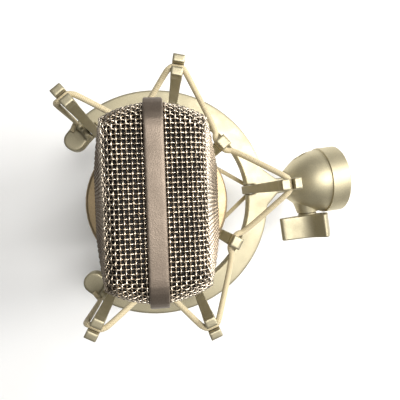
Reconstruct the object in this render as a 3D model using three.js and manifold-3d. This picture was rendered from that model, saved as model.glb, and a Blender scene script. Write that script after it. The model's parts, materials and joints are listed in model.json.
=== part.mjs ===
// Side-address ribbon microphone in a cat's cradle shock mount. Millimetres, +Z up along the microphone.
// X runs from the microphone towards the stand. The origin is the middle of the stand socket's mouth.
import * as THREE from "three";
import { mergeVertices } from "three/addons/utils/BufferGeometryUtils.js";
import Module from "manifold-3d";

const wasm = await Module();
wasm.setup();

// Driving dimensions of the shock mount, about the microphone's axis.
const GAP = 0.3;
const RING_OUTER = 57.5;
const RING_INNER = 47;
const RING_HALF_HEIGHT = 3.5;
const RING_END_ANGLE = 136;
const OUTER_POST_ANGLES = [-124, -74, 0, 74, 124];
const POST_FACE = 46.5;
const POST_TOP = 59.5;
const POST_BOTTOM = -11.6;
const POST_HALF_WIDTH = 2.3;
const BAR_HALF_WIDTH = 2.1;
const OUTER_SLOT = 50.45;
const CRADLE_POST_ANGLES = [-99, -35, 35, 99];
const CRADLE_FACE = 31.5;
const CRADLE_TOP = 54.5;
const CRADLE_FLOOR = -50;
const CRADLE_NOTCH = 32.7;
const CORD_RADIUS = 1.15;
const UPPER_OUTER_CORD = 56.2;
const UPPER_INNER_CORD = 50.8;
const LOWER_CORD = -9.4;
const HORN_RADIUS = 1.7;
const HORN_OUTSIDE = 53.4;
const HORN_INSIDE = 48.2;
const HORN_ACROSS = 4.3;

// Driving dimensions of the stand socket and its pivot.
const PIVOT_X = 79;
const SOCKET_MOUTH = 97.3;
const SOCKET_RIM = 17.4;
const SOCKET_BORE = 9.6;
const BORE_DEPTH = 10.7;
const UPWARD_TILT = 8;
const TONGUE_HALF_WIDTH = 4;
const CHEEK = 5;
const KNOB_START = -16.7;
const KNOB_END = -29.8;

// Driving dimensions of the microphone, and how far it is turned in the cradle, in degrees.
const MICROPHONE_TURN = -5.5;
const BODY_RADIUS = 25.7;
const BODY_WALL = 2;
const BODY_BOTTOM = -43.2;
const SHOULDER = 58.5;
const BOSS_RADIUS = 12.5;
const BOSS_BOTTOM = -61;
const HEAD_RADIUS = 25.4;
const HEAD_TOP = 105.5;
const HEAD_BASE_DEPTH = 22.4;
const HEAD_TOP_DEPTH = 12.3;
const HEAD_EDGE = 7.5;
const WEDGE_EDGE = 5;
const GRILLE_WALL = 1.2;
const BAND_HALF = 2.4;
const BAND_PROUD = 1.3;

const degrees = (angle) => (angle * Math.PI) / 180;

// A group shifts every piece so that the socket's mouth is the origin.
const part = new THREE.Group();
part.name = "ribbon_microphone";
part.position.set(-SOCKET_MOUTH, 0, 0);
const microphone = new THREE.Group();
microphone.rotation.z = degrees(MICROPHONE_TURN);
part.add(microphone);

const finishes = {
  champagne: { color: 0xdccfae, roughness: 0.42, metalness: 0.55 },
  pale: { color: 0xe0d6b8, roughness: 0.4, metalness: 0.5 },
  nickel: { color: 0xcfc3ae, roughness: 0.3, metalness: 0.9 },
  steel: { color: 0x9a958c, roughness: 0.35, metalness: 0.9 },
  cord: { color: 0xcdbd97, roughness: 0.85, metalness: 0 },
  rubber: { color: 0x2a2825, roughness: 0.9, metalness: 0 },
  black: { color: 0x1c1b1a, roughness: 0.6, metalness: 0.1 },
  brass: { color: 0xb9964e, roughness: 0.3, metalness: 0.9 },
  board: { color: 0x2f5a3a, roughness: 0.6, metalness: 0 },
  foil: { color: 0xd8dadd, roughness: 0.25, metalness: 1 },
  red: { color: 0x9e1f1c, roughness: 0.5, metalness: 0 },
};

// Solids and booleans.

function solid(geometry) {
  const bare = geometry.clone();
  bare.deleteAttribute("normal");
  bare.deleteAttribute("uv");
  const merged = mergeVertices(bare, 1e-4);
  const mesh = new wasm.Mesh({
    numProp: 3,
    vertProperties: new Float32Array(merged.attributes.position.array),
    triVerts: new Uint32Array(merged.index.array),
  });
  return new wasm.Manifold(mesh);
}

function geometryOf(shape) {
  const mesh = shape.getMesh();
  const geometry = new THREE.BufferGeometry();
  geometry.setAttribute("position", new THREE.BufferAttribute(new Float32Array(mesh.vertProperties), 3));
  geometry.setIndex(new THREE.BufferAttribute(new Uint32Array(mesh.triVerts), 1));
  geometry.computeVertexNormals();
  return geometry;
}

function add(name, shape, finish, group = part) {
  const mesh = new THREE.Mesh(geometryOf(shape), new THREE.MeshStandardMaterial(finishes[finish]));
  mesh.name = name;
  group.add(mesh);
}

// The microphone's own pieces are turned together in the cradle.
function fit(name, shape, finish) {
  add(name, shape, finish, microphone);
}

// A solid turned about Z, from [radius, height] points.
function turned(points, segments = 48) {
  const profile = points.map(([radius, height]) => new THREE.Vector2(radius, height));
  profile.push(profile[0].clone());
  const geometry = new THREE.LatheGeometry(profile, segments);
  geometry.rotateX(Math.PI / 2);
  const shape = solid(geometry);
  return shape.volume() < 0 ? solid(flipped(geometry)) : shape;
}

function flipped(geometry) {
  const index = geometry.index.array;
  for (let i = 0; i < index.length; i += 3) {
    [index[i], index[i + 1]] = [index[i + 1], index[i]];
  }
  return geometry;
}

// A solid turned about X, from [position along X, radius] points.
function turnedAlongX(points, segments = 48) {
  return turned(points.map(([x, radius]) => [radius, x]), segments).rotate([0, 90, 0]);
}

// A solid turned about Y, from [position along Y, radius] points.
function turnedAlongY(points, segments = 32) {
  return turned(points.map(([y, radius]) => [radius, y]), segments).rotate([-90, 0, 0]);
}

function rod(radius, from, to, segments = 24) {
  return turned([[0, from], [radius, from], [radius, to], [0, to]], segments);
}

function tube(outer, inner, from, to, segments = 48) {
  return turned([[inner, from], [outer, from], [outer, to], [inner, to]], segments);
}

function box(x0, x1, y0, y1, z0, z1) {
  const geometry = new THREE.BoxGeometry(x1 - x0, y1 - y0, z1 - z0);
  geometry.translate((x0 + x1) / 2, (y0 + y1) / 2, (z0 + z1) / 2);
  return solid(geometry);
}

// An outline in the XY plane, raised from z0 to z1.
function raised(shape, z0, z1, curveSegments = 24) {
  const geometry = new THREE.ExtrudeGeometry(shape, { depth: z1 - z0, bevelEnabled: false, curveSegments });
  geometry.translate(0, 0, z0);
  return solid(geometry);
}

function outline(points) {
  return new THREE.Shape(points.map(([x, y]) => new THREE.Vector2(x, y)));
}

// An outline of [x, z] points, given thickness along Y.
function slabAlongY(points, y0, y1) {
  return raised(outline(points), -y1, -y0).rotate([90, 0, 0]);
}

// An outline of [y, z] points, given thickness along X.
function slabAlongX(shape, x0, x1, curveSegments = 16) {
  return raised(shape, x0, x1, curveSegments).rotate([90, 0, 90]);
}

// Points along an arc in a plane, for outlines with round corners.
function arc(cx, cy, radius, from, to, steps = 6) {
  return Array.from({ length: steps + 1 }, (_, i) => {
    const angle = degrees(from + ((to - from) * i) / steps);
    return [cx + radius * Math.cos(angle), cy + radius * Math.sin(angle)];
  });
}

// Half an outline's points, and the same points reflected, in order round the whole outline.
function mirrored(points, reflect) {
  return [...points, ...points.map(reflect).reverse()];
}

// A place by its distance out along an angle, and how far it lies across from that line.
function polar(radius, angle, across, z) {
  const turn = degrees(angle);
  return new THREE.Vector3(
    radius * Math.cos(turn) - across * Math.sin(turn),
    radius * Math.sin(turn) + across * Math.cos(turn),
    z,
  );
}

// The shock mount's outer ring, open on the side away from the stand.
function ringOutline() {
  const end = degrees(RING_END_ANGLE);
  const middle = (RING_OUTER + RING_INNER) / 2;
  const half = (RING_OUTER - RING_INNER) / 2;
  const shape = new THREE.Shape();
  shape.absarc(0, 0, RING_OUTER, -end, end, false);
  shape.absarc(middle * Math.cos(end), middle * Math.sin(end), half, end, end + Math.PI, false);
  shape.absarc(0, 0, RING_INNER, end, -end, true);
  shape.absarc(middle * Math.cos(end), -middle * Math.sin(end), half, Math.PI - end, -end, false);
  return shape;
}

// One post of the outer frame, standing at angle 0: a bar with a cord slot between two prongs at each end.
function outerPost() {
  const slotInner = OUTER_SLOT - CORD_RADIUS - GAP;
  const slotOuter = OUTER_SLOT + CORD_RADIUS + GAP;
  const back = POST_FACE + 4.6;
  const prong = POST_FACE + 7.5;
  const halfLip = 0.75;
  const lip = POST_TOP - 1.7;
  const profile = [
    [POST_FACE + 1.1, POST_BOTTOM],
    [slotInner, POST_BOTTOM],
    ...arc(OUTER_SLOT, LOWER_CORD, OUTER_SLOT - slotInner, 180, 0),
    [slotOuter, POST_BOTTOM],
    [prong - 0.6, POST_BOTTOM + 0.4],
    [prong, LOWER_CORD + 2.6],
    [back, LOWER_CORD + 4.6],
    [back, UPPER_OUTER_CORD - 6.5],
    [prong, UPPER_OUTER_CORD - 3],
    [prong + 0.3, POST_TOP],
    [OUTER_SLOT + halfLip, POST_TOP],
    [OUTER_SLOT + halfLip, lip],
    ...arc(OUTER_SLOT, UPPER_OUTER_CORD, OUTER_SLOT - slotInner, 0, -180),
    [OUTER_SLOT - halfLip, lip],
    [OUTER_SLOT - halfLip, POST_TOP],
    [POST_FACE - 0.3, POST_TOP],
    [POST_FACE - 0.3, POST_TOP - 3.5],
    [POST_FACE, POST_TOP - 4.5],
    [POST_FACE, LOWER_CORD + 2],
  ];
  const plan = mirrored([
    [POST_FACE - 1, 1.9],
    [POST_FACE + 1.2, POST_HALF_WIDTH],
    [prong + 1, POST_HALF_WIDTH],
  ], ([x, y]) => [x, -y]);
  const front = mirrored([
    [POST_HALF_WIDTH, POST_BOTTOM],
    [POST_HALF_WIDTH, LOWER_CORD + 3],
    [BAR_HALF_WIDTH, LOWER_CORD + 5],
    [BAR_HALF_WIDTH, UPPER_OUTER_CORD - 7],
    [POST_HALF_WIDTH, UPPER_OUTER_CORD - 4.5],
    [POST_HALF_WIDTH, POST_TOP],
  ], ([y, z]) => [-y, z]);
  return slabAlongY(profile, -POST_HALF_WIDTH, POST_HALF_WIDTH)
    .intersect(raised(outline(plan), POST_BOTTOM - 1, POST_TOP + 1))
    .intersect(slabAlongX(outline(front), POST_FACE - 2, prong + 2));
}

// The slot that the outer ring leaves for a post, open to the inside.
function postPocket() {
  const half = BAR_HALF_WIDTH + GAP;
  return box(POST_FACE - 4, POST_FACE + 4.6 + GAP, -half, half, -20, 20);
}

// The plate that joins the ring to the pivot, with a fillet each side where it leaves the ring.
function tongue() {
  const fillet = outline([
    [RING_INNER + 4, -13],
    [RING_OUTER - 1.6, -10.4],
    [63, -TONGUE_HALF_WIDTH],
    [63, TONGUE_HALF_WIDTH],
    [RING_OUTER - 1.6, 10.4],
    [RING_INNER + 4, 13],
  ]);
  const eye = [
    [RING_OUTER - 4, -RING_HALF_HEIGHT],
    [66, -RING_HALF_HEIGHT],
    ...arc(PIVOT_X, 0, 6.4, -134, 134, 16),
    [66, RING_HALF_HEIGHT],
    [RING_OUTER - 4, RING_HALF_HEIGHT],
  ];
  const plate = slabAlongY(eye, -TONGUE_HALF_WIDTH, TONGUE_HALF_WIDTH);
  return raised(fillet, -RING_HALF_HEIGHT, RING_HALF_HEIGHT)
    .add(plate)
    .subtract(rod(2.8, -20, 20).rotate([90, 0, 0]).translate([PIVOT_X, 0, 0]));
}

// Two stubby horns near each end of the ring, joined by a low bridge, keep the cord's tail in place.
function cleat(side) {
  const rise = RING_HALF_HEIGHT + 4.5;
  const horn = turned([
    [0, 0],
    [HORN_RADIUS, 0],
    [HORN_RADIUS, rise - 0.8],
    [HORN_RADIUS - 0.6, rise],
    [0, rise],
  ], 16);
  const middle = side * HORN_ACROSS;
  const bridge = box(HORN_INSIDE, HORN_OUTSIDE, middle - 1.3, middle + 1.3, 0, rise - 1.2);
  return horn.translate([HORN_OUTSIDE, middle, 0])
    .add(horn.translate([HORN_INSIDE, middle, 0]))
    .add(bridge)
    .rotate([0, 0, OUTER_POST_ANGLES[4] * side]);
}

function outerRing() {
  let ring = raised(ringOutline(), -RING_HALF_HEIGHT, RING_HALF_HEIGHT, 48).add(tongue());
  ring = ring.add(cleat(1)).add(cleat(-1));
  for (const angle of OUTER_POST_ANGLES) {
    ring = ring.subtract(postPocket().rotate([0, 0, angle]));
  }
  return ring;
}

add("outer_ring", outerRing(), "pale");
OUTER_POST_ANGLES.forEach((angle, i) => {
  add(`outer_post_${i + 1}`, outerPost().rotate([0, 0, angle]), "pale");
});

// The inner cradle that carries the microphone.
function cradlePost() {
  const back = CRADLE_FACE + 3.6;
  const notch = (height) => arc(CRADLE_NOTCH, height, CORD_RADIUS + GAP, 90, -90);
  const profile = [
    [CRADLE_FACE, CRADLE_FLOOR],
    [back, CRADLE_FLOOR],
    [back, CRADLE_TOP - 6],
    [back + 0.9, CRADLE_TOP - 4],
    [back + 0.9, CRADLE_TOP - 0.6],
    [back + 0.3, CRADLE_TOP],
    [CRADLE_FACE + 0.4, CRADLE_TOP],
    [CRADLE_FACE, CRADLE_TOP - 0.5],
    [CRADLE_FACE, UPPER_INNER_CORD + CORD_RADIUS + GAP],
    ...notch(UPPER_INNER_CORD),
    [CRADLE_FACE, UPPER_INNER_CORD - CORD_RADIUS - GAP],
    [CRADLE_FACE, LOWER_CORD + CORD_RADIUS + GAP],
    ...notch(LOWER_CORD),
    [CRADLE_FACE, LOWER_CORD - CORD_RADIUS - GAP],
  ];
  return slabAlongY(profile, -POST_HALF_WIDTH, POST_HALF_WIDTH);
}

CRADLE_POST_ANGLES.forEach((angle, i) => {
  add(`cradle_post_${i + 1}`, cradlePost().rotate([0, 0, angle]), "pale");
});
add("cradle_base", tube(CRADLE_FACE - GAP, BOSS_RADIUS + 0.8, CRADLE_FLOOR, CRADLE_FLOOR + 5), "pale");
add("cradle_pad", tube(24, BOSS_RADIUS + 1, CRADLE_FLOOR + 5 + GAP, BODY_BOTTOM - GAP), "rubber");

// The collar nut under the cradle, with grip flutes.
function collarNut() {
  const top = CRADLE_FLOOR - GAP;
  let nut = turned([
    [BOSS_RADIUS + GAP, top],
    [BOSS_RADIUS + GAP, top - 9],
    [17.6, top - 9],
    [18.4, top - 8],
    [18.4, top - 1],
    [17.6, top],
  ]);
  for (let i = 0; i < 16; i += 1) {
    const flute = rod(1.1, top - 12, top + 2, 8).translate([18.9, 0, 0]);
    nut = nut.subtract(flute.rotate([0, 0, (360 * i) / 16]));
  }
  return nut;
}

add("collar_nut", collarNut(), "champagne");

// A cord's route visits its own points evenly, so that each step of the sweep ends on one of them.
class CordRoute extends THREE.Curve {
  constructor(points) {
    super();
    this.points = points;
  }

  getPoint(t) {
    const at = Math.min(Math.max(t, 0), 1) * (this.points.length - 1);
    const i = Math.min(Math.floor(at), this.points.length - 2);
    return this.points[i].clone().lerp(this.points[i + 1], at - i);
  }

  getPointAt(t) {
    return this.getPoint(t);
  }

  getSpacedPoints() {
    return this.points;
  }

  getTangentAt(t) {
    const reach = 0.5 / (this.points.length - 1);
    const before = this.getPoint(t - reach);
    return this.getPoint(t + reach).sub(before).normalize();
  }
}

function sweep(points, radius, sides = 8) {
  const section = new THREE.Shape(
    arc(0, 0, radius, 0, 360 - 360 / sides, sides - 1).map(([x, y]) => new THREE.Vector2(x, y)),
  );
  const options = { steps: points.length - 1, extrudePath: new CordRoute(points), bevelEnabled: false };
  return solid(new THREE.ExtrudeGeometry(section, options));
}

// The cord passes through a post's slot, from one side of the post to the other.
function throughOuterSlot(angle, z) {
  const way = [[OUTER_SLOT - 2.4, 4.8], [OUTER_SLOT - 0.8, 3.5], [OUTER_SLOT, 2.5], [OUTER_SLOT, 1.2]];
  return [
    ...way.map(([radius, across]) => polar(radius, angle, -across, z)),
    ...way.map(([radius, across]) => polar(radius, angle, across, z)).reverse(),
  ];
}

function aroundCradlePost(angle, z) {
  const way = [[CRADLE_NOTCH + 2.6, 5.1], [CRADLE_NOTCH + 0.6, 3.5], [CRADLE_NOTCH, 1.9]];
  return [
    ...way.map(([radius, across]) => polar(radius, angle, -across, z)),
    ...way.map(([radius, across]) => polar(radius, angle, across, z)).reverse(),
  ];
}

// The cord zigzags from outer post to cradle post all the way round.
function zigzag(outerHeight, innerHeight) {
  const route = [];
  OUTER_POST_ANGLES.forEach((angle, i) => {
    route.push(...throughOuterSlot(angle, outerHeight));
    if (i < CRADLE_POST_ANGLES.length) {
      route.push(...aroundCradlePost(CRADLE_POST_ANGLES[i], innerHeight));
    }
  });
  return route;
}

// From the end posts the upper cord runs down to the ring and ends outside the cleat.
function tail(side) {
  const rest = RING_HALF_HEIGHT + GAP + CORD_RADIUS;
  const way = [
    [54.6, 8.8, rest],
    [55.6, 7.3, rest],
    [56.3, 5.7, rest],
    [56.6, 4.4, rest + 1],
    [56.2, 4, rest + 4],
    [OUTER_SLOT + 1.3, 3.9, UPPER_OUTER_CORD - 4.5],
    [OUTER_SLOT + 0.8, 3.7, UPPER_OUTER_CORD - 2],
    [OUTER_SLOT + 0.4, 3.1, UPPER_OUTER_CORD - 0.6],
  ];
  return way.map(([radius, across, z]) => polar(radius, OUTER_POST_ANGLES[4] * side, side * across, z));
}

// The end posts take the cord through the slot only, and it leaves on the side of the ring's gap.
function upperRoute() {
  const all = zigzag(UPPER_OUTER_CORD, UPPER_INNER_CORD).slice(2, -2);
  return [...tail(-1), ...all, ...tail(1).reverse()];
}

add("upper_elastic", sweep(upperRoute(), CORD_RADIUS), "cord");
add("lower_elastic", sweep(zigzag(LOWER_CORD, LOWER_CORD).slice(1, -1), CORD_RADIUS), "cord");

// The stand socket: a bell on a short rim, cut for the tongue, with a boss for the clamp knob.
function standSocket() {
  const flare = [
    [-10, 0],
    [-10, 7.6],
    [-8, 9.4],
    [-5.5, 11.6],
    [-3, 13.4],
    [-0.5, 14.8],
    [2.5, 15.9],
    [5.5, 16.4],
    [8.6, 16.6],
  ];
  const bell = [
    ...flare.map(([along, radius]) => [PIVOT_X + along, radius]),
    [PIVOT_X + 8.8, SOCKET_RIM],
    [SOCKET_MOUTH - 0.6, SOCKET_RIM],
    [SOCKET_MOUTH, SOCKET_RIM - 0.6],
    [SOCKET_MOUTH, 0],
  ];
  const bossEnd = KNOB_START + GAP;
  const boss = turnedAlongY([[bossEnd, 0], [bossEnd, 5.2], [-12, 6.3], [-8, 7.6], [-4, 7.6], [-4, 0]]);
  const boreEnd = SOCKET_MOUTH - BORE_DEPTH;
  const bore = turnedAlongX([[boreEnd, 0], [boreEnd, SOCKET_BORE], [120, SOCKET_BORE], [120, 0]]);
  const eyeRoom = turnedAlongY([[-CHEEK, 0], [-CHEEK, 7.2], [CHEEK, 7.2], [CHEEK, 0]]);
  const tilt = slabAlongY([[-30, 5.4], [-30, -30], [5.4, -30], [5.4, 0], [0, 5.4]], -CHEEK, CHEEK);
  const up = box(-30, 0, -CHEEK, CHEEK, -5.2, 5.2).rotate([0, UPWARD_TILT, 0]);
  const boltWay = turnedAlongY([[-40, 0], [-40, 2.9], [8, 2.9], [8, 3.9], [30, 3.9], [30, 0]]);
  return turnedAlongX(bell)
    .add(boss.translate([PIVOT_X, 0, 0]))
    .subtract(bore)
    .subtract(eyeRoom.add(tilt).add(up).add(boltWay).translate([PIVOT_X, 0, 0]));
}

add("stand_socket", standSocket(), "champagne");
const reducer = turnedAlongX([
  [SOCKET_MOUTH - 0.4, SOCKET_BORE - GAP],
  [SOCKET_MOUTH - 9.4, SOCKET_BORE - GAP],
  [SOCKET_MOUTH - 9.4, 5],
  [SOCKET_MOUTH - 0.4, 5],
]);
add("thread_reducer", reducer, "brass");

for (const [i, side] of [[1, 1], [2, -1]]) {
  const washer = turnedAlongY([
    [side * (TONGUE_HALF_WIDTH + 0.15), 2.9],
    [side * (TONGUE_HALF_WIDTH + 0.15), 5.8],
    [side * (CHEEK - 0.15), 5.8],
    [side * (CHEEK - 0.15), 2.9],
  ]);
  add(`friction_washer_${i}`, washer.translate([PIVOT_X, 0, 0]), "steel");
}
const bolt = turnedAlongY([
  [13.2, 0],
  [13.2, 2.6],
  [12.4, 3.6],
  [8.2, 3.6],
  [8.2, 2.5],
  [-26, 2.5],
  [-26, 0],
], 24);
add("pivot_bolt", bolt.translate([PIVOT_X, 0, 0]), "steel");

// The wing knob: a paddle on a round hub, with one wing out to the side and the other standing up.
function wingKnob() {
  const bends = [
    [-15.8, 0.4],
    [-15.2, 2.2],
    [-10, 3],
    [-4, 4.1],
    [0, 6],
    [2.6, 9.2],
    [4.4, 11],
    [6.2, 10],
    [8.8, 5.6],
    [10.9, 1],
    [8.6, -2.8],
    [3, -4.6],
    [-4, -4.2],
    [-10, -2.2],
    [-15, -0.8],
  ];
  const curve = new THREE.SplineCurve([...bends, bends[0]].map(([x, z]) => new THREE.Vector2(x, z)));
  const wing = curve.getPoints(56).slice(1).map((point) => [point.x, point.y]);
  const paddle = slabAlongY(wing.reverse(), KNOB_END, KNOB_START - 1.1);
  const hub = turnedAlongY([[KNOB_START, 0], [KNOB_START, 4.8], [-28, 4.8], [-28, 0]]);
  const insertWay = turnedAlongY([[0, 0], [0, 3.6], [-26.6, 3.6], [-26.6, 0]]);
  return paddle.add(hub).subtract(insertWay).translate([PIVOT_X, 0, 0]);
}

add("wing_knob", wingKnob(), "pale");
const insert = turnedAlongY([[KNOB_START, 2.8], [KNOB_START, 3.3], [-26.3, 3.3], [-26.3, 2.8]], 24);
add("knob_insert", insert.translate([PIVOT_X, 0, 0]), "brass");

// The microphone's body, closed below by a base with a threaded boss.
const bodyTube = tube(BODY_RADIUS, BODY_RADIUS - BODY_WALL, BODY_BOTTOM + 3.3, SHOULDER - 6.3, 64);
fit("body_tube", bodyTube, "champagne");

function bodyBase() {
  const spigot = BODY_RADIUS - BODY_WALL - GAP;
  return turned([
    [9.4, BOSS_BOTTOM],
    [BOSS_RADIUS - 0.6, BOSS_BOTTOM],
    [BOSS_RADIUS, BOSS_BOTTOM + 0.6],
    [BOSS_RADIUS, BODY_BOTTOM],
    [BODY_RADIUS - 1, BODY_BOTTOM],
    [BODY_RADIUS, BODY_BOTTOM + 1],
    [BODY_RADIUS, BODY_BOTTOM + 3],
    [spigot, BODY_BOTTOM + 3],
    [spigot, BODY_BOTTOM + 9],
    [spigot - 3, BODY_BOTTOM + 9],
    [spigot - 3, BODY_BOTTOM + 3],
    [9.4, BODY_BOTTOM + 3],
  ]);
}

fit("body_base", bodyBase(), "champagne");

const pinPlaces = [[0, 4.2], [-4, -2.4], [4, -2.4]];
const pinHoles = pinPlaces.map(([x, y]) => rod(1.5, -60, -30, 16).translate([x, y, 0]));
const xlrInsert = rod(9.1, BODY_BOTTOM - 5, BODY_BOTTOM, 32);
fit("xlr_insert", pinHoles.reduce((shape, hole) => shape.subtract(hole), xlrInsert), "black");
pinPlaces.forEach(([x, y], i) => {
  const pin = turned([[0, -58], [0.8, -58], [1.2, -57.2], [1.2, -41], [0, -41]], 16);
  fit(`xlr_pin_${i + 1}`, pin.translate([x, y, 0]), "brass");
});

// The head's base: the shoulder disc under the grille, with a skirt that fits inside the body tube.
function headBase() {
  const skirt = BODY_RADIUS - BODY_WALL - GAP;
  return turned([
    [18, SHOULDER - 3],
    [skirt - 1.4, SHOULDER - 3],
    [skirt - 1.4, SHOULDER - 9],
    [skirt, SHOULDER - 9],
    [skirt, SHOULDER - 6],
    [BODY_RADIUS, SHOULDER - 6],
    [BODY_RADIUS, SHOULDER - 1.2],
    [BODY_RADIUS - 0.4, SHOULDER - 0.4],
    [BODY_RADIUS - 1.2, SHOULDER],
    [18, SHOULDER],
  ], 64);
}

fit("head_base", headBase(), "champagne");

// The head's form: a cylinder cut to a wedge front and back, with a round top edge all the way round.
function headForm(inset, bottom) {
  const radius = HEAD_RADIUS - inset;
  const top = HEAD_TOP - inset;
  const rim = HEAD_EDGE - inset;
  const edge = WEDGE_EDGE - inset;
  const drum = turned([
    [0, bottom],
    [radius, bottom],
    ...arc(radius - rim, top - rim, rim, 0, 90),
    [0, top],
  ]);
  const slope = Math.atan2(HEAD_BASE_DEPTH - HEAD_TOP_DEPTH, HEAD_TOP - SHOULDER);
  const lean = (slope * 180) / Math.PI;
  const depthAt = (z) => HEAD_BASE_DEPTH - inset / Math.cos(slope) - (z - SHOULDER) * Math.tan(slope);
  const cornerX = depthAt(top - edge) - edge / Math.cos(slope);
  const right = arc(cornerX, top - edge, edge, lean, 90);
  const left = right.map(([x, z]) => [-x, z]).reverse();
  const wedge = slabAlongY([
    [-depthAt(bottom), bottom],
    [depthAt(bottom), bottom],
    ...right,
    ...left,
  ], -40, 40);
  return drum.intersect(wedge);
}

// Front and rear halves of the two mesh layers meet the band from each side.
function meshLayer(inset, wall) {
  return headForm(inset, SHOULDER + GAP).subtract(headForm(inset + wall, SHOULDER - 1));
}

const beside = BAND_HALF + GAP;
const halves = { front: box(beside, 60, -60, 60, 0, 200), rear: box(-60, -beside, -60, 60, 0, 200) };
const grille = meshLayer(0, GRILLE_WALL);
const innerMesh = meshLayer(GRILLE_WALL + GAP, 0.5);
for (const [side, half] of Object.entries(halves)) {
  fit(`${side}_grille`, grille.intersect(half), "nickel");
  fit(`${side}_inner_mesh`, innerMesh.intersect(half), "steel");
}

// The band over the head, between the two grilles.
function bandOutline(inset, bottom) {
  const half = HEAD_RADIUS + BAND_PROUD - inset;
  const top = HEAD_TOP + BAND_PROUD - inset;
  const corner = HEAD_EDGE + BAND_PROUD - inset;
  return outline([
    [-half, bottom],
    [half, bottom],
    ...arc(half - corner, top - corner, corner, 0, 90, 8),
    ...arc(-half + corner, top - corner, corner, 90, 180, 8),
  ]);
}

const bandDepth = BAND_PROUD + GRILLE_WALL + 2.2;
const band = slabAlongX(bandOutline(0.4, SHOULDER + GAP), -BAND_HALF, BAND_HALF)
  .subtract(slabAlongX(bandOutline(bandDepth, SHOULDER - 1), -9, 9));
fit("head_band", band, "champagne");

// The ribbon motor: a frame, two magnets, the ribbon between them and its clamps.
const MOTOR_FOOT = SHOULDER + 3;
const MOTOR_TOP = MOTOR_FOOT + 36;
const yoke = box(-5, 5, -15, 15, MOTOR_FOOT, MOTOR_TOP)
  .subtract(box(-9, 9, -10.5, 10.5, MOTOR_FOOT + 4, MOTOR_TOP - 4));
fit("motor_yoke", yoke, "steel");
for (const [name, y] of [["magnet_left", -6.5], ["magnet_right", 6.5]]) {
  fit(name, box(-4.4, 4.4, y - 3.6, y + 3.6, MOTOR_FOOT + 8, MOTOR_TOP - 8), "black");
}

function ribbon() {
  const folds = 30;
  const from = MOTOR_FOOT + 5;
  const step = (MOTOR_TOP - MOTOR_FOOT - 10) / folds;
  const wave = (offset) => Array.from({ length: folds + 1 }, (_, i) => [
    offset + (i % 2 ? 0.28 : -0.28) * (i > 3 && i < folds - 3 ? 1 : 0),
    from + i * step,
  ]);
  return slabAlongY([...wave(0.15), ...wave(-0.15).reverse()], -1.9, 1.9);
}

fit("ribbon", ribbon(), "foil");
for (const [name, z] of [["ribbon_clamp_bottom", MOTOR_FOOT + 6], ["ribbon_clamp_top", MOTOR_TOP - 6]]) {
  const clamp = box(-3.4, 3.4, -6, 6, z - 1.6, z + 1.6)
    .subtract(box(-0.5, 0.5, -2.3, 2.3, z - 4, z + 4));
  fit(name, clamp, "brass");
  for (const [side, y] of [["left", -4.2], ["right", 4.2]]) {
    const screw = turnedAlongX([[3.7, 0], [3.7, 1.3], [4.9, 1.3], [4.9, 0]], 16);
    fit(`${name.replace("ribbon_", "")}_screw_${side}`, screw.translate([0, y, z]), "steel");
  }
}

// The bridge that carries the motor across the head's base, on two rubber grommets.
fit("motor_bridge", box(-5.5, 5.5, -16.8, 16.8, SHOULDER - 1.8, SHOULDER + 0.2), "steel");
for (const [name, y] of [["motor_grommet_left", -11], ["motor_grommet_right", 11]]) {
  fit(name, rod(3, SHOULDER + 0.2 + GAP, MOTOR_FOOT - GAP).translate([0, y, 0]), "rubber");
}

// Inside the body: two rails, the output transformer and the terminal board.
const RAIL_BOTTOM = BODY_BOTTOM + 3 + GAP;
for (const [name, y] of [["chassis_rail_left", -17], ["chassis_rail_right", 17]]) {
  fit(name, box(-4, 4, y - 1, y + 1, RAIL_BOTTOM, SHOULDER - 3 - GAP - 1.4), "steel");
}
fit("chassis_plate", box(-8, 8, -15.7, 15.7, -14, -12), "steel");
fit("output_transformer", rod(13, -12 + GAP, 17, 32), "steel");
fit("terminal_board", box(9.6, 11.2, -13, 13, -36, -16), "board");

// The motor's leads run down beside it, through the bridge's gap and into the body.
for (const [name, x, finish] of [["motor_lead_red", 8.2, "red"], ["motor_lead_black", -8.2, "black"]]) {
  const side = Math.sign(x);
  const route = [
    [x - side * 2.4, 3, MOTOR_FOOT + 22],
    [x, 3, MOTOR_FOOT + 18],
    [x + side * 0.6, 3, MOTOR_FOOT + 8],
    [x, 3, SHOULDER - 6],
    [x + side * 5.6, 2, 22],
    [x + side * 6, 0, -10],
  ].map(([px, py, pz]) => new THREE.Vector3(px, py, pz));
  const smooth = new THREE.CatmullRomCurve3(route).getPoints(20);
  fit(name, sweep(smooth, 0.6), finish);
}

export default part;
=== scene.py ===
"""Ribbon microphone in its cord shock mount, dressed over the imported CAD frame."""

import json
import math

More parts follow.
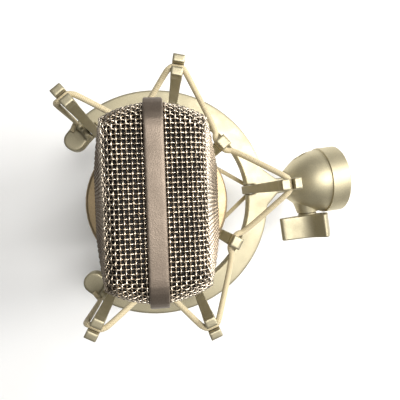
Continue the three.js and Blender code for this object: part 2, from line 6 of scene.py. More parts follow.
import bpy
import numpy as np
from mathutils import Euler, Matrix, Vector


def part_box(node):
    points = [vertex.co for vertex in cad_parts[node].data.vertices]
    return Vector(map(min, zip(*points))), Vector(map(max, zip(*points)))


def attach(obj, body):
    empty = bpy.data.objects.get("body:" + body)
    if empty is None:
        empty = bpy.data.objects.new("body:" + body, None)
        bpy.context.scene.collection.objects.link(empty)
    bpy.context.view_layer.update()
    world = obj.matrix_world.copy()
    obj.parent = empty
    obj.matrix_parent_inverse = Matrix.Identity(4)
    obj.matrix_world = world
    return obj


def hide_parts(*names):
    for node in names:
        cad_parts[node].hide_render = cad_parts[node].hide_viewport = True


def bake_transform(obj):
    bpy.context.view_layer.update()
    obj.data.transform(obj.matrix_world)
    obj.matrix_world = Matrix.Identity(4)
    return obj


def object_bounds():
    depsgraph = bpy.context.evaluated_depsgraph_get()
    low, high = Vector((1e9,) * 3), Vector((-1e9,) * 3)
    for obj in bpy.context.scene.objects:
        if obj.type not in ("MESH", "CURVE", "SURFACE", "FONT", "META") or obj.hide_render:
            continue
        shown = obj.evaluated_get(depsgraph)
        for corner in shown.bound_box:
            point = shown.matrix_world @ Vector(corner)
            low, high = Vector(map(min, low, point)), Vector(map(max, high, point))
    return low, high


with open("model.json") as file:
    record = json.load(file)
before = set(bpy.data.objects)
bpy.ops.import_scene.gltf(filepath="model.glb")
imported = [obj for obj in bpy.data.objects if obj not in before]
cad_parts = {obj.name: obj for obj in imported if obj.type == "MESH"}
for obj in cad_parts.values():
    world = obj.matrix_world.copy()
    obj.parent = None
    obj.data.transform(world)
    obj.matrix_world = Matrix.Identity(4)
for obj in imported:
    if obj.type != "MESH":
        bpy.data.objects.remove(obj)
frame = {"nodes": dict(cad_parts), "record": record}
cad_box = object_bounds()
nodes = frame["nodes"]
MM = 0.001

# The frame's origin is the stand socket's mouth, and +X points out of it. Lengths below are in millimetres
# from the microphone's own axis, which stands upright on the -X side of the socket.
cradle_low, cradle_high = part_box("cradle_base")
AXIS = Vector(((cradle_low[0] + cradle_high[0]) / 2, 0, 0))
FLOOR = cad_box[0][2] - 0.5 * MM

# The shock mount's cord route, as in the CAD part.
OUTER_POST_ANGLES = (-124, -74, 0, 74, 124)
CRADLE_POST_ANGLES = (-99, -35, 35, 99)
OUTER_SLOT = 50.45
CRADLE_NOTCH = 32.7
UPPER_OUTER_CORD = 56.2
UPPER_INNER_CORD = 50.8
LOWER_CORD = -9.4
RING_TOP = 3.5
CORD_RADIUS = 1.15

# The microphone's head, as in the CAD part.
MICROPHONE_TURN = math.radians(-5.5)
SHOULDER = 58.5
HEAD_RADIUS = 25.4
HEAD_TOP = 105.5
HEAD_BASE_DEPTH = 22.4
HEAD_TOP_DEPTH = 12.3
HEAD_EDGE = 7.5
WEDGE_EDGE = 5
BAND_HALF = 2.4
WIRE_PITCH = 1.16
WIRE_RADIUS = 0.23


# ---------------------------------------------------------------- camera and studio

CAMERA_PLACE = (1.0, 0.4, 188.8)
CAMERA_TURN = (0.12, -5.51, -7.7)
SENSOR = 36
LENS = 32.3
SHIFT = 0.0127
CLIP_START = 0.005

# Lamps: place in metres from the microphone's axis, power in watts, side in metres, colour.
PANEL = ((0.2, 0.06, 0.9), 6.4, 0.34, (1, 0.997, 0.99))
KEY = ((0.72, 0.1, 0.5), 7.0, 0.42, (1, 0.995, 0.985))
SKY_COLOUR = (1, 0.99, 0.97, 1)
SKY_AWAY = 0.06
SKY_STAND_SIDE = 0.3
FLOOR_HALF = 3.0


def place_camera():
    """Looks almost straight down the microphone's axis, from close above its head."""
    data = bpy.data.cameras.new("camera")
    data.sensor_width = SENSOR
    data.lens = LENS
    data.shift_x = SHIFT
    data.clip_start = CLIP_START
    camera = bpy.data.objects.new("camera", data)
    bpy.context.scene.collection.objects.link(camera)
    camera.location = AXIS + Vector(CAMERA_PLACE) * MM
    camera.rotation_euler = Euler([math.radians(a) for a in CAMERA_TURN], "XYZ")
    bpy.context.scene.camera = camera


def softbox(name, place, power, size, colour):
    """A square lamp that faces the microphone."""
    data = bpy.data.lights.new(name, "AREA")
    data.energy = power
    data.size = size
    data.color = colour
    lamp = bpy.data.objects.new(name, data)
    bpy.context.scene.collection.objects.link(lamp)
    lamp.location = AXIS + Vector(place)
    lamp.rotation_euler = (-Vector(place)).to_track_quat("-Z", "Y").to_euler()


def light_studio():
    """A panel overhead, a key from the stand's side, and a dim sky that is darker away from the stand."""
    softbox("panel", *PANEL)
    softbox("key", *KEY)
    world = bpy.data.worlds.new("sky")
    bpy.context.scene.world = world
    world.use_nodes = True
    tree = world.node_tree
    background = tree.nodes["Background"]
    direction = tree.nodes.new("ShaderNodeTexCoord").outputs["Generated"]
    split = tree.nodes.new("ShaderNodeSeparateXYZ")
    ramp = tree.nodes.new("ShaderNodeMapRange")
    ramp.inputs["From Min"].default_value = -1
    ramp.inputs["From Max"].default_value = 1
    ramp.inputs["To Min"].default_value = SKY_AWAY
    ramp.inputs["To Max"].default_value = SKY_STAND_SIDE
    tree.links.new(direction, split.inputs["Vector"])
    tree.links.new(split.outputs["X"], ramp.inputs["Value"])
    tree.links.new(ramp.outputs["Result"], background.inputs["Strength"])
    background.inputs["Color"].default_value = SKY_COLOUR
    bpy.context.scene.view_settings.view_transform = "Standard"


def lay_floor(materials):
    corners = [(x * FLOOR_HALF, y * FLOOR_HALF, FLOOR) for x, y in ((-1, -1), (1, -1), (1, 1), (-1, 1))]
    floor = new_piece("floor", corners, [(0, 1, 2, 3)], materials["floor"])


# ---------------------------------------------------------------- materials


def srgb(red, green, blue):
    """A colour given as 0 to 255 each, as linear light."""
    shares = (c / 255 for c in (red, green, blue))
    return tuple(c / 12.92 if c < 0.04 else ((c + 0.055) / 1.055) ** 2.4 for c in shares)


def scaled(colour, by):
    return tuple(min(1.0, c * by) for c in colour)


class Finish:
    """A short way to write one Principled material's nodes."""

    def __init__(self, name):
        self.material = bpy.data.materials.new(name)
        self.material.use_nodes = True
        self.tree = self.material.node_tree
        self.shader = self.tree.nodes["Principled BSDF"]
        self.place = self.new("ShaderNodeTexCoord").outputs["Object"]

    def new(self, kind, **settings):
        node = self.tree.nodes.new(kind)
        for key, value in settings.items():
            setattr(node, key, value)
        return node

    def put(self, socket, value):
        """Sets a socket to a number or colour, or links another node's output to it."""
        if isinstance(value, bpy.types.NodeSocket):
            self.tree.links.new(value, socket)
        elif isinstance(value, tuple) and len(value) == 3 and socket.type == "RGBA":
            socket.default_value = (*value, 1)
        else:
            socket.default_value = value

    def noise(self, scale, detail=4.0, rough=0.6, stretch=None):
        node = self.new("ShaderNodeTexNoise")
        self.put(node.inputs["Scale"], float(scale))
        self.put(node.inputs["Detail"], float(detail))
        self.put(node.inputs["Roughness"], rough)
        source = self.place
        if stretch:
            mapping = self.new("ShaderNodeMapping")
            self.put(mapping.inputs["Scale"], stretch)
            self.put(mapping.inputs["Vector"], source)
            source = mapping.outputs["Vector"]
        self.put(node.inputs["Vector"], source)
        return node.outputs["Fac"]

    def attribute(self, name):
        return self.new("ShaderNodeAttribute", attribute_name=name).outputs["Fac"]

    def ramp(self, value, low, high, low_colour, high_colour):
        node = self.new("ShaderNodeValToRGB")
        first, last = node.color_ramp.elements
        first.position, last.position = low, high
        first.color, last.color = (*low_colour, 1), (*high_colour, 1)
        self.put(node.inputs["Fac"], value)
        return node.outputs["Color"]

    def span(self, value, low, high, start=0.3, end=0.7):
        node = self.new("ShaderNodeMapRange")
        for name, number in (("From Min", start), ("From Max", end), ("To Min", low), ("To Max", high)):
            self.put(node.inputs[name], number)
        self.put(node.inputs["Value"], value)
        return node.outputs["Result"]

    def sum(self, operation, a, b=0.0):
        node = self.new("ShaderNodeMath", operation=operation)
        self.put(node.inputs[0], a)
        self.put(node.inputs[1], b)
        return node.outputs["Value"]

    def mix(self, share, a, b, blend="MIX"):
        node = self.new("ShaderNodeMix", data_type="RGBA", blend_type=blend)
        sockets = {s.name: s for s in node.inputs if s.enabled}
        self.put(sockets["Factor"], share)
        self.put(sockets["A"], a)
        self.put(sockets["B"], b)
        return next(s for s in node.outputs if s.enabled)

    def bump(self, height, distance, strength=1.0, under=None):
        node = self.new("ShaderNodeBump")
        self.put(node.inputs["Distance"], distance)
        self.put(node.inputs["Strength"], strength)
        self.put(node.inputs["Height"], height)
        if under is not None:
            self.put(node.inputs["Normal"], under)
        return node.outputs["Normal"]

    def done(self, **values):
        for name, value in values.items():
            self.put(self.shader.inputs[name.replace("_", " ")], value)
        return self.material


def painted(name, colour, rough, metal, grain, relief):
    """Satin metallic paint: sand grain, slow drifts of tone, small specks, and paler rubbed edges."""
    f = Finish(name)
    drift = f.noise(40, 3)
    grains = f.noise(grain, 2, 0.5)
    tone = f.ramp(drift, 0.3, 0.7, scaled(colour, 0.92), scaled(colour, 1.05))
    tone = f.mix(0.5, tone, f.ramp(grains, 0.3, 0.7, (0.8, 0.8, 0.8), (1.15, 1.15, 1.15)), "MULTIPLY")
    edges = f.new("ShaderNodeNewGeometry").outputs["Pointiness"]
    tone = f.mix(f.span(edges, 0.0, 0.5, 0.53, 0.6), tone, scaled(colour, 1.3))
    roughness = f.span(f.noise(110, 4), rough - 0.07, rough + 0.09)
    normal = f.bump(grains, relief * MM, 0.6)
    normal = f.bump(drift, 0.25 * MM, 0.2, normal)
    return f.done(Base_Color=tone, Metallic=metal, Roughness=roughness, Normal=normal)


# Where painted shade on the head's wires gives way to their full colour: by height in the frame, and by
# distance from the microphone's axis on the side away from the stand, where less light falls.
WIRE_HEIGHTS = (86, 104)
WIRE_DISTANCES = (14.5, 10.5)
SHADE_BELOW = (0.46, 0.42, 0.37)
SHADE_AWAY = (0.5, 0.46, 0.41)
UNCHANGED = (1.0, 1.0, 1.0)


def plated_wire(name, colour, rough):
    """Drawn, plated wire with stains, and painted shade: darker further down the head and on the side away
    from the stand.
    """
    f = Finish(name)
    split = f.new("ShaderNodeSeparateXYZ")
    f.put(split.inputs["Vector"], f.place)
    stains = f.ramp(f.noise(240, 4), 0.35, 0.62, scaled(colour, 0.6), colour)
    # Painted shade: the wires darken further down the head.
    height = f.sum("ADD", split.outputs["Z"], f.span(f.noise(150, 3), -3 * MM, 3 * MM))
    lit_by_height = f.span(height, 0.0, 1.0, *(h * MM for h in WIRE_HEIGHTS))
    tone = f.mix(1.0, stains, f.ramp(lit_by_height, 0.0, 1.0, SHADE_BELOW, UNCHANGED), "MULTIPLY")
    # Painted shade: the wires darken on the side away from the stand.
    lit_by_side = f.span(split.outputs["X"], 0.0, 1.0, *(AXIS.x - d * MM for d in WIRE_DISTANCES))
    tone = f.mix(1.0, tone, f.ramp(lit_by_side, 0.0, 1.0, SHADE_AWAY, UNCHANGED), "MULTIPLY")
    roughness = f.span(f.noise(900, 2), rough - 0.06, rough + 0.12)
    normal = f.bump(f.noise(2500, 2), 0.02 * MM, 0.5)
    return f.done(Base_Color=tone, Metallic=1.0, Roughness=roughness, Normal=normal)


def fine_gauze(name, thread, shaded_hole, pitch):
    """The inner mesh: dull threads over holes painted near-black, painted shade for the dark inside of the
    head.
    """
    f = Finish(name)
    split = f.new("ShaderNodeSeparateXYZ")
    f.put(split.inputs["Vector"], f.place)
    threads = 0.0
    for axis in "XYZ":
        turns = f.sum("MULTIPLY", split.outputs[axis], math.pi / (pitch * MM))
        threads = f.sum("MAXIMUM", f.sum("ABSOLUTE", f.sum("SINE", turns)), threads)
    # The holes' near-black is painted shade from the inside of the head.
    tone = f.ramp(threads, 0.9, 0.99, shaded_hole, thread)
    normal = f.bump(threads, 0.1 * MM, 0.5)
    roughness = f.span(f.noise(500), 0.5, 0.75)
    return f.done(Base_Color=tone, Metallic=0.4, Roughness=roughness, Normal=normal)


def braided(name, light, groove_shade):
    """The elastic's woven cover: painted shade in the grooves between the strands, and dusty here and there.
    """
    f = Finish(name)
    weave = f.attribute("weave")
    # Painted shade: darker down in the grooves between the strands.
    strands_and_shade = f.ramp(weave, 0.05, 0.6, groove_shade, light)
    dust = f.ramp(f.noise(130, 4), 0.3, 0.7, (0.84, 0.82, 0.78), (1.05, 1.05, 1.05))
    tone = f.mix(0.7, strands_and_shade, dust, "MULTIPLY")
    normal = f.bump(f.noise(2400, 3, 0.7), 0.05 * MM, 0.6)
    roughness = f.span(weave, 0.85, 0.62, 0.0, 1.0)
    return f.done(Base_Color=tone, Roughness=roughness, Normal=normal, Sheen_Weight=0.2)


def worked(name, colour, rough, metal, scale=200, relief=0.04):
    """Machined, rolled or moulded material: drifting tone and roughness over a fine grain."""
    f = Finish(name)
    tone = f.ramp(f.noise(scale, 5), 0.3, 0.7, scaled(colour, 0.8), scaled(colour, 1.08))
    roughness = f.span(f.noise(scale * 2.3, 3), rough - 0.08, rough + 0.1)
    normal = f.bump(f.noise(scale * 7, 2), relief * MM, 0.5)
    return f.done(Base_Color=tone, Metallic=metal, Roughness=roughness, Normal=normal)


def paper_floor(name):
    """White paper round the object, with painted shade that greys it further off, so that upright sides
    mirror something darker.
    """
    f = Finish(name)
    length = f.new("ShaderNodeVectorMath", operation="LENGTH")
    f.put(length.inputs[0], f.place)
    near = f.ramp(f.noise(9, 3), 0.3, 0.7, srgb(250, 249, 247), srgb(254, 254, 253))
    # Painted shade: the paper turns grey further from the object.
    tone = f.mix(f.span(length.outputs["Value"], 0.0, 1.0, 0.35, 1.0), near, srgb(176, 175, 173))
    normal = f.bump(f.noise(600, 2), 0.03 * MM, 0.2)
    roughness = f.span(f.noise(60), 0.75, 0.9)
    return f.done(Base_Color=tone, Roughness=roughness, Normal=normal)


def make_materials():
    return {
        "champagne": painted("champagne_paint", srgb(206, 196, 165), 0.52, 0.85, 2200, 0.05),
        "band": painted("blasted_band", srgb(130, 117, 104), 0.5, 0.85, 3000, 0.07),
        # The shoulder's darker, browner paint is painted shade from the head above it.
        "shaded_shoulder": painted("shoulder_painted_shade", srgb(160, 140, 108), 0.4, 0.85, 2200, 0.05),
        "pale": painted("pale_champagne_paint", srgb(172, 163, 136), 0.45, 0.75, 2000, 0.05),
        "nickel": plated_wire("plated_wire", srgb(226, 212, 192), 0.27),
        "gauze": fine_gauze("fine_gauze", srgb(30, 25, 22), srgb(4, 3, 3), 0.55),
        "cord": braided("braided_cord", srgb(214, 199, 162), srgb(120, 104, 74)),
        "steel": worked("satin_steel", srgb(160, 156, 148), 0.35, 1.0),
        "brass": worked("turned_brass", srgb(206, 168, 92), 0.3, 1.0),
        "rubber": worked("black_rubber", srgb(44, 42, 40), 0.85, 0.0),
        "black": worked("black_finish", srgb(34, 33, 32), 0.5, 0.1),
        "board": worked("green_board", srgb(52, 96, 62), 0.45, 0.0),
        "foil": worked("bright_foil", srgb(226, 228, 230), 0.2, 1.0),
        "red": worked("red_wire", srgb(176, 34, 30), 0.4, 0.0),
        "floor": paper_floor("studio_floor"),
    }


# ---------------------------------------------------------------- CAD nodes that stay

# Cast pieces are rounded all over: the grain of their new skin in millimetres, and how often it is smoothed.
CAST_SKINS = {
    "outer_ring": (0.4, 5),
    "outer_post": (0.26, 14),
    "cradle_post": (0.26, 14),
    "wing_knob": (0.3, 8),
    "head_band": (0.22, 18),
}

# Turned pieces keep their shape and get small round edges, in millimetres.
TURNED_EDGES = {
    "stand_socket": 0.35,
    "pivot_bolt": 0.6,
    "head_base": 0.35,
    "cradle_base": 0.6,
    "collar_nut": 0.3,
    "body": 0.3,
}


def cast(obj, grain, smoothing):
    """Gives a CAD node a soft skin with modifiers, and leaves its own mesh alone."""
    skin = obj.modifiers.new("skin", "REMESH")
    skin.mode = "VOXEL"
    skin.voxel_size = grain * MM
    skin.use_smooth_shade = True
    smooth = obj.modifiers.new("smooth", "SMOOTH")
    smooth.factor = 0.5
    smooth.iterations = smoothing


def ease_edges(obj, width):
    """Rounds a CAD node's edges with modifiers, and leaves its own mesh alone."""
    weld = obj.modifiers.new("weld", "WELD")
    weld.merge_threshold = 0.002 * MM
    bevel = obj.modifiers.new("bevel", "BEVEL")
    bevel.width = width * MM
    bevel.segments = 3
    bevel.limit_method = "ANGLE"
    bevel.angle_limit = math.radians(30)
    normals = obj.modifiers.new("normals", "WEIGHTED_NORMAL")
    normals.keep_sharp = True


def first_match(table, name, otherwise=None):
    return next((value for start, value in table.items() if name.startswith(start)), otherwise)


# Pieces whose paint differs a little from the rest of their slot: the band has its own paint, and the
# shoulder a darker, browner copy of the paint that is painted shade from the head above.
OWN_FINISH = {"head_band": "band", "head_base": "shaded_shoulder"}


def dress_frame(materials):
    slots = {s["node"]: s["material_slot"] for s in frame["record"]["subparts"]}
    for name, obj in nodes.items():
        finish = "gauze" if name.endswith("inner_mesh") else OWN_FINISH.get(name, slots[name])
        obj.data.materials.clear()
        obj.data.materials.append(materials[finish])
        obj.data.polygons.foreach_set("use_smooth", [True] * len(obj.data.polygons))
        skin = first_match(CAST_SKINS, name)
        if skin:
            cast(obj, *skin)
        else:
            ease_edges(obj, first_match(TURNED_EDGES, name, 0.12))


# ---------------------------------------------------------------- mesh building


def new_piece(name, vertices, faces, material):
    mesh = bpy.data.meshes.new(name)
    mesh.from_pydata([tuple(v) for v in vertices], [], faces)
    mesh.polygons.foreach_set("use_smooth", [True] * len(mesh.polygons))
    mesh.materials.append(material)
    mesh.update()
    obj = bpy.data.objects.new(name, mesh)
    bpy.context.scene.collection.objects.link(obj)
    return obj


def unit(vectors):
    return vectors / np.linalg.norm(vectors, axis=-1, keepdims=True)


def evenly(path, step):
    """The same line with points a step apart."""
    lengths = np.concatenate([[0], np.cumsum(np.linalg.norm(np.diff(path, axis=0), axis=1))])
    count = max(2, round(lengths[-1] / step) + 1)
    at = np.linspace(0, lengths[-1], count)
    return np.stack([np.interp(at, lengths, path[:, k]) for k in range(3)], axis=1)


def ring_faces(count, sides, start=0):
    """Quads round a tube of count rings, and a cap at each end."""
    ring = start + np.arange(count - 1)[:, None] * sides
    side = np.arange(sides)[None, :]
    after = (side + 1) % sides
    quads = np.stack([ring + side, ring + after, ring + sides + after, ring + sides + side], axis=-1)
    first = tuple(range(start + sides - 1, start - 1, -1))
    last = tuple(range(start + (count - 1) * sides, start + count * sides))
    return [*map(tuple, quads.reshape(-1, 4).tolist()), first, last]


def to_frame(points, turn=0.0):
    """Millimetres about the microphone's axis to metres in the frame, turned about that axis."""
    points = np.asarray(points, float)
    cosine, sine = math.cos(turn), math.sin(turn)
    x = points[..., 0] * cosine - points[..., 1] * sine
    y = points[..., 0] * sine + points[..., 1] * cosine
    return np.stack([x, y, points[..., 2]], axis=-1) * MM + np.array(AXIS)


# ---------------------------------------------------------------- woven head

SLOPE = math.atan2(HEAD_BASE_DEPTH - HEAD_TOP_DEPTH, HEAD_TOP - SHOULDER)
CLOTH_DEPTH = 0.6
WIRE_PHASE = 0.45
FIRST_LENGTHWISE = 2
LAST_LENGTHWISE = 49
WEAVE_RISE = 0.23
WIRE_SIDES = 5
STEPS_PER_PITCH = 5
WIRE_RAYS = 721
BAND_SIDE = BAND_HALF + 0.05
FIRST_HEIGHT = SHOULDER + 0.3

# How far the search for the cloth along a ray goes, and how often it halves.
OUTSIDE_HEAD = 90.0
HALVINGS = 30

# The fold between the top and a sloping wall, and the round rim above the head's sides.
FOLD_Z = HEAD_TOP - WEDGE_EDGE
FOLD_X = HEAD_BASE_DEPTH - (FOLD_Z - SHOULDER) * math.tan(SLOPE) - WEDGE_EDGE / math.cos(SLOPE)
FOLD_RADIUS = WEDGE_EDGE - CLOTH_DEPTH
WALL_START = FOLD_X + FOLD_RADIUS * (math.pi / 2 - SLOPE)
WALL_OUT = np.array([math.cos(SLOPE), 0, math.sin(SLOPE)])
WALL_DOWN = np.array([math.sin(SLOPE), 0, -math.cos(SLOPE)])
WALL_TOP = np.array([FOLD_X, 0, FOLD_Z]) + FOLD_RADIUS * WALL_OUT
RIM_Y = HEAD_RADIUS - HEAD_EDGE
RIM_Z = HEAD_TOP - HEAD_EDGE
RIM_RADIUS = HEAD_EDGE - CLOTH_DEPTH
X, Y, Z = np.eye(3)


def head_field(points):
    """Signed distance from the head's outside: a drum with a round top edge, cut to a wedge on two sides."""
    x, y, z = np.abs(points[..., 0]), points[..., 1], points[..., 2]
    out, up = np.hypot(x, y) - RIM_Y, z - RIM_Z
    drum = np.hypot(np.maximum(out, 0), np.maximum(up, 0)) + np.minimum(np.maximum(out, up), 0) - HEAD_EDGE
    depth = HEAD_BASE_DEPTH - (z - SHOULDER) * math.tan(SLOPE)
    sides = np.maximum((x - depth) * math.cos(SLOPE), z - HEAD_TOP)
    dx, dz = x - FOLD_X, z - FOLD_Z
    turn = np.arctan2(dz, dx)
    rounded = (turn > SLOPE) & (turn < math.pi / 2)
    wedge = np.where(rounded, np.hypot(dx, dz) - WEDGE_EDGE, sides)
    return np.maximum(drum, wedge)


def head_normals(points, reach=0.25):
    """Which way the head's surface faces, smoothed over its creases."""
    steps = np.eye(3) * reach
    slopes = [head_field(points + step) - head_field(points - step) for step in steps]
    return unit(np.stack(slopes, axis=-1))


def out_to_cloth(centre, directions):
    """Where rays from a point inside the head meet the cloth's middle surface."""
    near = np.zeros(len(directions))
    far = np.full(len(directions), OUTSIDE_HEAD)
    for _ in range(HALVINGS):
        middle = (near + far) / 2
        inside = head_field(centre + middle[:, None] * directions) < -CLOTH_DEPTH
        near = np.where(inside, middle, near)
        far = np.where(inside, far, middle)
    return centre + near[:, None] * directions


# The cloth's two directions. Lengthwise wires are counted from the band over the top, the fold and the
# wall. Crosswise wires are counted from the middle over the top and the rim.


def count_flat(points):
    return points[:, 0] / WIRE_PITCH - WIRE_PHASE


def count_wall(points):
    return (WALL_START + (points - WALL_TOP) @ WALL_DOWN) / WIRE_PITCH - WIRE_PHASE


def count_lengthwise(points):
    dx, dz = points[:, 0] - FOLD_X, points[:, 2] - FOLD_Z
    turn = np.arctan2(dx, dz)
    fold = (FOLD_X + FOLD_RADIUS * turn) / WIRE_PITCH - WIRE_PHASE
    below = np.where(turn < math.pi / 2 - SLOPE, fold, count_wall(points))
    return np.where((dx < 0) & (dz > 0), count_flat(points), below)


def count_crosswise(points):
    y, z = points[:, 1], points[:, 2]
    rim = RIM_Y + RIM_RADIUS * np.arctan2(np.abs(y) - RIM_Y, np.maximum(z - RIM_Z, 0))
    over = (np.abs(y) > RIM_Y) & (z > RIM_Z) & (np.hypot(points[:, 0], y) > RIM_Y)
    return np.where(over, np.sign(y) * rim, y) / WIRE_PITCH


def lengthwise_wires():
    """Each wire's kind, number, and the half plane it lies in: centre, two directions, range of turn."""
    for number in range(FIRST_LENGTHWISE, LAST_LENGTHWISE + 1):
        run = (number + WIRE_PHASE) * WIRE_PITCH
        if run < HEAD_BASE_DEPTH - 2:
            kind = "flat" if run <= FOLD_X else "side"
            yield kind, number, (run, 0, FIRST_HEIGHT), Y, Z, (0, 180)
        if FOLD_X < run <= WALL_START:
            turn = (run - FOLD_X) / FOLD_RADIUS
            outward = math.sin(turn) * X + math.cos(turn) * Z
            yield "fold", number, (FOLD_X, 0, FOLD_Z), Y, outward, (0, 180)
        if run > WALL_START:
            place = WALL_TOP + (run - WALL_START) * WALL_DOWN
            inward = (place[0] - BAND_SIDE) / WALL_OUT[0]
            yield "wall", number, place - inward * WALL_OUT, WALL_OUT, Y, (-90, 90)


def crosswise_wires():
    """The same for the other direction, over the top and down the walls, and round the rim."""
    outermost = int(HEAD_RADIUS / WIRE_PITCH)
    for number in range(-outermost, outermost + 1):
        y = number * WIRE_PITCH
        kind = "over" if abs(y) <= RIM_Y else "edge"
        yield kind, number, (BAND_SIDE, y, FIRST_HEIGHT), X, Z, (0, 90)
    rim_count = int(RIM_RADIUS * math.pi / 2 / WIRE_PITCH)
    first = int(RIM_Y / WIRE_PITCH) + 1
    for number in range(first, first + rim_count):
        turn = (number * WIRE_PITCH - RIM_Y) / RIM_RADIUS
        for side in (-1, 1):
            outward = side * math.sin(turn) * Y + math.cos(turn) * Z
            yield "rim", side * number, (BAND_SIDE, side * RIM_Y, RIM_Z), X, outward, (0, 90)


def wire_line(centre, first, second, turns):
    """The head's outline in one wire's half plane, from one end to the other."""
    turns = np.radians(np.linspace(*turns, WIRE_RAYS))
    rays = np.cos(turns)[:, None] * first + np.sin(turns)[:, None] * second
    return evenly(out_to_cloth(np.array(centre, float), rays), WIRE_PITCH / STEPS_PER_PITCH)


def shows(kind, line, faces):
    """Where along its line a wire belongs to the cloth."""
    above = line[:, 2] > FIRST_HEIGHT - 0.02
    more_forward = faces[:, 0] >= faces[:, 1]
    rules = {"side": ~more_forward, "fold": faces[:, 1] < 0.5, "edge": more_forward, "rim": ~more_forward}
    return above & rules.get(kind, above)


def stretches(present):
    """Index ranges where a wire shows: it ends where its set gives way to another."""
    edges = np.flatnonzero(np.diff(np.concatenate([[0], present.astype(int), [0]])))
    return [(a, b) for a, b in zip(edges[::2], edges[1::2]) if b - a > STEPS_PER_PITCH]


def woven(kind, number, line, normals):
    """Carries a wire over and under the wires that cross it."""
    upright = line[:, 2] < RIM_Z
    to_side = np.abs(normals[:, 1]) > np.abs(normals[:, 0])
    if kind in ("flat", "side"):
        crossing = np.where(upright, count_wall(line), count_crosswise(line))
        sign = np.where(upright, -1, 1)
    elif kind == "wall":
        crossing, sign = np.where(to_side, count_flat(line), count_crosswise(line)), 1
    elif kind == "fold":
        crossing, sign = count_crosswise(line), 1
    elif kind == "rim":
        crossing, sign = count_flat(line), -1
    else:
        crossing, sign = count_lengthwise(line), -1
    rise = sign * np.cos(math.pi * (crossing + number))
    return line + normals * (rise * WEAVE_RISE)[:, None]


def wire_tube(line, hint):
    """Rings of points round a wire."""
    along = unit(np.gradient(line, axis=0))
    first = unit(np.cross(along, hint))
    second = np.cross(along, first)
    turns = np.arange(WIRE_SIDES) * 2 * math.pi / WIRE_SIDES
    spread = np.cos(turns)[:, None] * first[:, None] + np.sin(turns)[:, None] * second[:, None]
    return line[:, None] + WIRE_RADIUS * spread


def tubes_of(wires):
    """Every wire of one direction on the half of the head that faces +X, as tubes."""
    tubes = []
    for kind, number, centre, first, second, turns in wires:
        line = wire_line(centre, first, second, turns)
        normals = head_normals(line)
        path = woven(kind, number, line, normals)
        for start, end in stretches(shows(kind, line, np.abs(normals))):
            tubes.append(wire_tube(path[start:end], np.cross(first, second)))
    return tubes


def weave_head(materials):
    """Front and rear cloths of real woven wire, the rear a half turn from the front."""
    for direction, wires in (("lengthwise", lengthwise_wires()), ("crosswise", crosswise_wires())):
        tubes = tubes_of(wires)
        vertices = np.concatenate([t.reshape(-1, 3) for t in tubes])
        faces, start = [], 0
        for rings in tubes:
            faces += ring_faces(len(rings), WIRE_SIDES, start)
            start += rings.shape[0] * WIRE_SIDES
        for side, turn in (("front", 0.0), ("rear", math.pi)):
            placed = to_frame(vertices, MICROPHONE_TURN + turn)
            cloth = new_piece(f"{side}_wires_{direction}", placed, faces, materials["nickel"])
            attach(cloth, "microphone")
            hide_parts(f"{side}_grille")


# ---------------------------------------------------------------- elastic cords

CORD_STEP = 0.2
CORD_SIDES = 24
STRANDS = 8
STRAND_RISE = 0.16


def polar(radius, angle, across, height):
    turn = math.radians(angle)
    x = radius * math.cos(turn) - across * math.sin(turn)
    y = radius * math.sin(turn) + across * math.cos(turn)
    return (x, y, height)


def past_post(radius, angle, height, side):
    """Half the cord's way past a post: side -1 is before the post, 1 after."""
    if radius == OUTER_SLOT:
        steps = [(radius - 2.2, 3.9), (radius - 1.2, 3.1), (radius - 0.3, 2.3), (radius, 1.2)]
    else:
        steps = [(radius + 2.6, 5.1), (radius + 0.6, 3.5), (radius, 1.9)]
    points = [polar(r, angle, side * across, height) for r, across in steps]
    return points if side < 0 else points[::-1]


def tail(side):
    """From outside the cleat, where it ends on the ring, up to the end post's slot."""
    rest = RING_TOP + CORD_RADIUS + 0.3
    steps = [
        (54.6, 8.8, rest),
        (55.6, 7.3, rest),
        (56.3, 5.7, rest),
        (56.6, 4.4, rest + 1),
        (56.2, 4, rest + 4),
        (OUTER_SLOT + 1.3, 3.9, UPPER_OUTER_CORD - 4.5),
        (OUTER_SLOT + 0.8, 3.7, UPPER_OUTER_CORD - 2),
        (OUTER_SLOT + 0.4, 3.1, UPPER_OUTER_CORD - 0.6),
    ]
    return [polar(r, OUTER_POST_ANGLES[-1] * side, side * across, z) for r, across, z in steps]


def stops(outer_height, inner_height):
    """The posts that a cord visits, in turn: radius, angle, height."""
    visits = []
    for i, angle in enumerate(OUTER_POST_ANGLES):
        visits.append((OUTER_SLOT, angle, outer_height))
        if i < len(CRADLE_POST_ANGLES):
            visits.append((CRADLE_NOTCH, CRADLE_POST_ANGLES[i], inner_height))
    return visits


def rounded(points, times=3):
    """Cuts a line's corners again and again, and keeps its ends."""
    line = np.array(points, float)
    for _ in range(times):
        inner = np.stack([0.75 * line[:-1] + 0.25 * line[1:], 0.25 * line[:-1] + 0.75 * line[1:]], axis=1)
        line = np.concatenate([line[:1], inner.reshape(-1, 3), line[-1:]])
    return line


def braid_tube(line, start):
    """Rings round a cord, raised where its strands cross, and how high each point stands in the weave."""
    along = unit(np.gradient(line, axis=0))
    side = unit(np.cross(along[0], (0.0, 0.0, 1.0)))
    turns = np.arange(CORD_SIDES) * 2 * math.pi / CORD_SIDES
    lean = STRANDS * turns / (2 * math.pi)
    strand = 2 * math.pi * CORD_RADIUS / STRANDS
    rings, weave = [], []
    for i, tangent in enumerate(along):
        side = unit(side - tangent * np.dot(side, tangent))
        other = np.cross(tangent, side)
        pace = (start + i * CORD_STEP) / strand
        height = np.sqrt(np.abs(np.sin(math.pi * (lean + pace)) * np.sin(math.pi * (lean - pace))))
        radius = CORD_RADIUS + STRAND_RISE * (height - 1)
        spread = np.cos(turns)[:, None] * side + np.sin(turns)[:, None] * other
        rings.append(line[i] + radius[:, None] * spread)
        weave.append(height)
    return np.array(rings), np.array(weave)


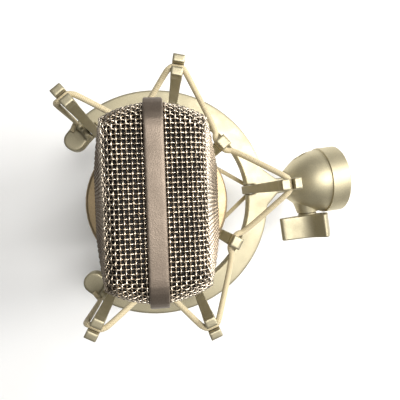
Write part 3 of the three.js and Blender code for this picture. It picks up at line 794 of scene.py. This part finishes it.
def lay_cord(name, points, start, material, node, ends=None):
    """One stretch of cord. Where ends are given, it stays where it is laid and follows no body; otherwise it
    moves with the outer frame.
    """
    line = evenly(rounded(points), CORD_STEP)
    rings, weave = braid_tube(line, start)
    piece = new_piece(name, to_frame(rings.reshape(-1, 3)), ring_faces(len(rings), CORD_SIDES), material)
    shade = piece.data.attributes.new("weave", "FLOAT", "POINT")
    shade.data.foreach_set("value", weave.ravel().astype(np.float32))
    if ends:
        to_frame(ends[0])
        to_frame(ends[1])
        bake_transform(piece)
    else:
        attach(piece, "outer_frame")
    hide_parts(node)
    return start + (len(line) - 1) * CORD_STEP


def string_cord(level, outer_height, inner_height, material):
    """A cord's spans, each from the middle of one post's loop to the middle of the next."""
    visits = stops(outer_height, inner_height)
    node = f"{level}_elastic"
    travelled = 0.0
    for i, (here, there) in enumerate(zip(visits, visits[1:]), 1):
        leave, arrive = past_post(*here, 1), past_post(*there, -1)
        first, last = polar(here[0], here[1], 0, here[2]), polar(there[0], there[1], 0, there[2])
        points = [first, *leave, *arrive, last]
        ends = (leave[-1], arrive[0]) if here[0] == OUTER_SLOT else (arrive[0], leave[-1])
        travelled = lay_cord(f"{level}_cord_{i}", points, travelled, material, node, ends)


# The lower cord ends just past each end post, in its slot.
LOWER_END = ((OUTER_SLOT - 1.2, 3.1), (OUTER_SLOT - 0.3, 2.3), (OUTER_SLOT, 0))


def string_cords(materials):
    string_cord("upper", UPPER_OUTER_CORD, UPPER_INNER_CORD, materials["cord"])
    string_cord("lower", LOWER_CORD, LOWER_CORD, materials["cord"])
    for side, word in ((1, "left"), (-1, "right")):
        middle = polar(OUTER_SLOT, OUTER_POST_ANGLES[-1] * side, 0, UPPER_OUTER_CORD)
        inside = polar(OUTER_SLOT, OUTER_POST_ANGLES[-1] * side, side * 1.9, UPPER_OUTER_CORD)
        points = [*tail(side), inside, middle]
        lay_cord(f"upper_cord_tail_{word}", points, 0.0, materials["cord"], "upper_elastic")
        stub = [polar(r, OUTER_POST_ANGLES[-1] * side, side * a, LOWER_CORD) for r, a in LOWER_END]
        lay_cord(f"lower_cord_end_{word}", stub, 0.0, materials["cord"], "lower_elastic")


# ---------------------------------------------------------------- the scene

materials = make_materials()
dress_frame(materials)
weave_head(materials)
string_cords(materials)
lay_floor(materials)
light_studio()
place_camera()
